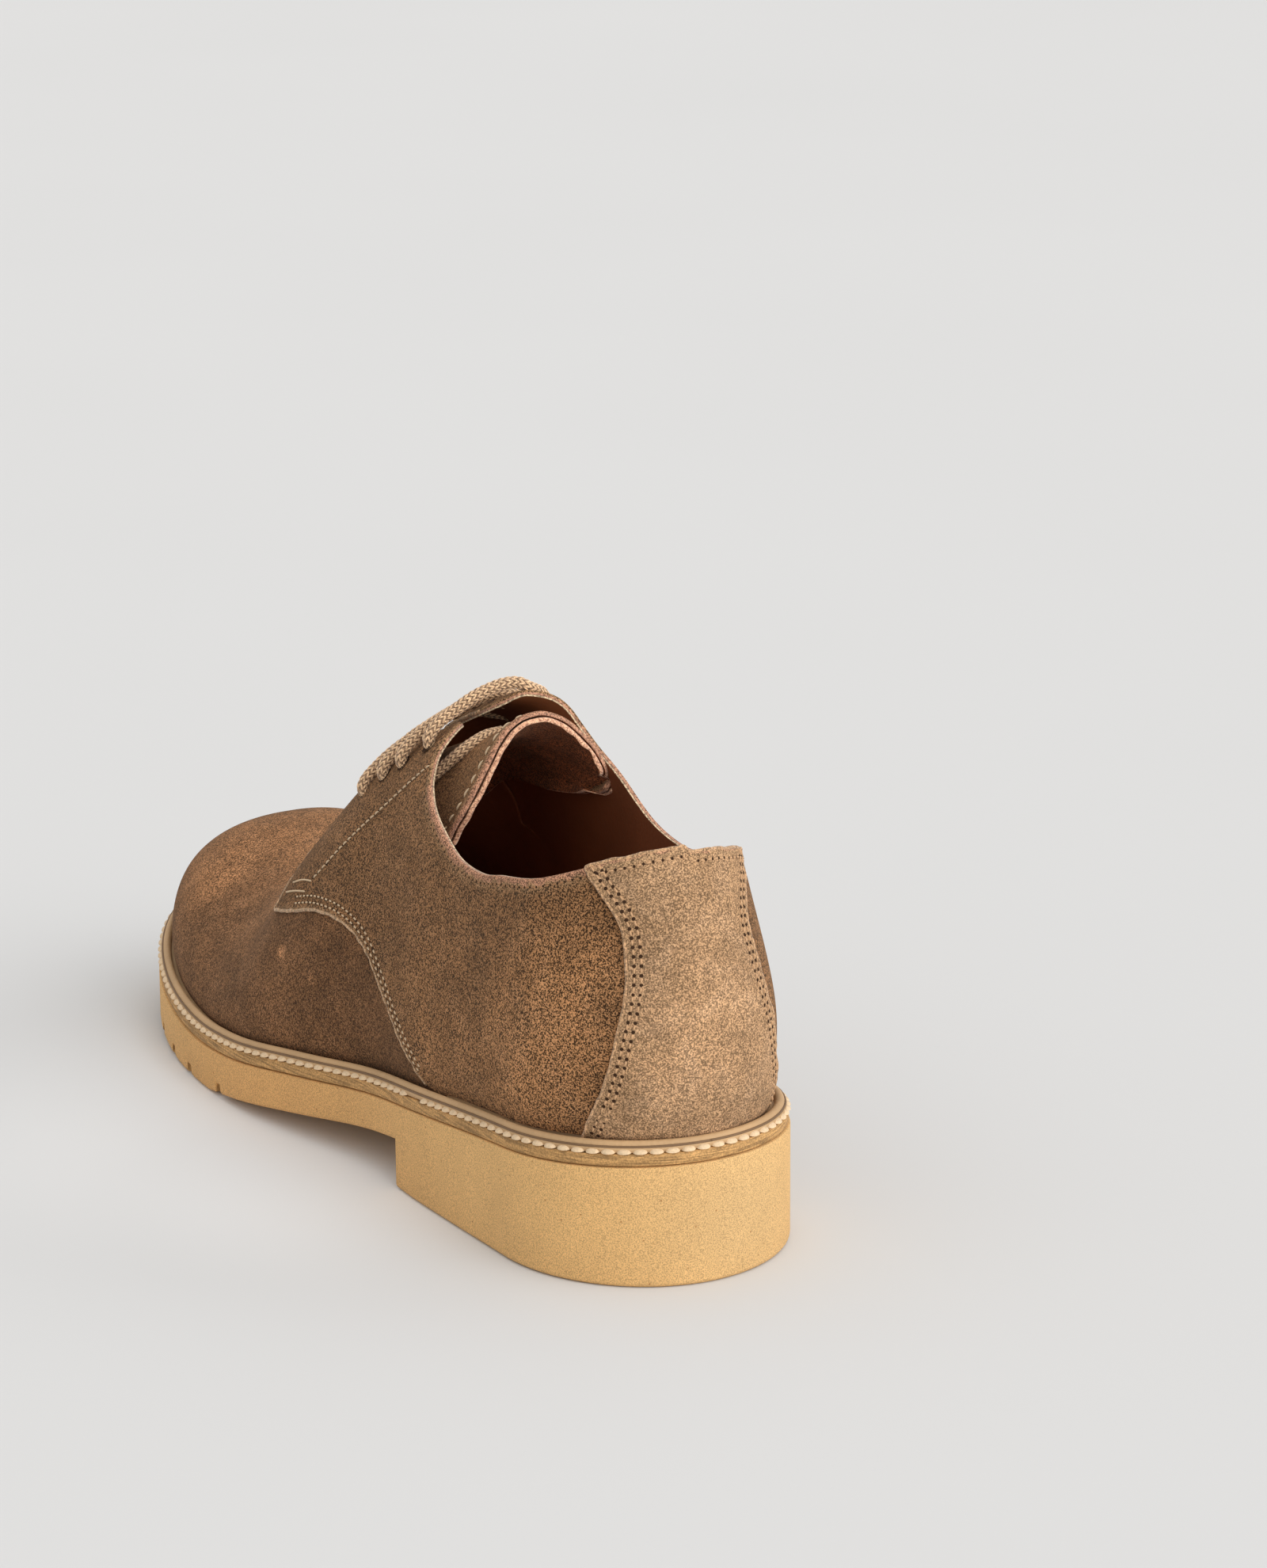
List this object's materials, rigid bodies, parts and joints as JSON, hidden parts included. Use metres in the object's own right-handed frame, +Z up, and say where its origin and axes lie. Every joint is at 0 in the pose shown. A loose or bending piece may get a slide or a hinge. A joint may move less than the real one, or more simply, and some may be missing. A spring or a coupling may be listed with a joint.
{
  "type": "derby shoe",
  "caption": "Low suede lace-up shoe for the left foot, plain toe, laid-on quarters, heel counter patch and a thick cellular sole with heel block.",
  "frame": {"origin": "middle of the shoe's footprint, on the floor it stands on", "axes": "+Z up, toe towards -Y, heel towards +Y, outer side of the left foot at +X"},
  "size_m": [0.1024, 0.2999, 0.1323],
  "materials": {
    "outsole": "matt cellular rubber, honey tan",
    "midsole": "brown edge, matt",
    "welt": "light tan with pale stitches",
    "insole": "dark brown lining leather",
    "upper": "taupe-brown suede",
    "counter": "lighter greige suede",
    "tongue": "taupe-brown suede with raw edge",
    "lace": "round braided cord, tan"
  },
  "bodies": {
    "root": {"outsole": "outsole", "midsole": "midsole", "welt": "welt", "insole": "insole", "upper": "upper", "counter": "counter", "tongue": "tongue", "lace_bar_1": "lace", "lace_bar_2": "lace", "lace_bar_3": "lace", "lace_bar_4": "lace"}
  },
  "joints": []
}
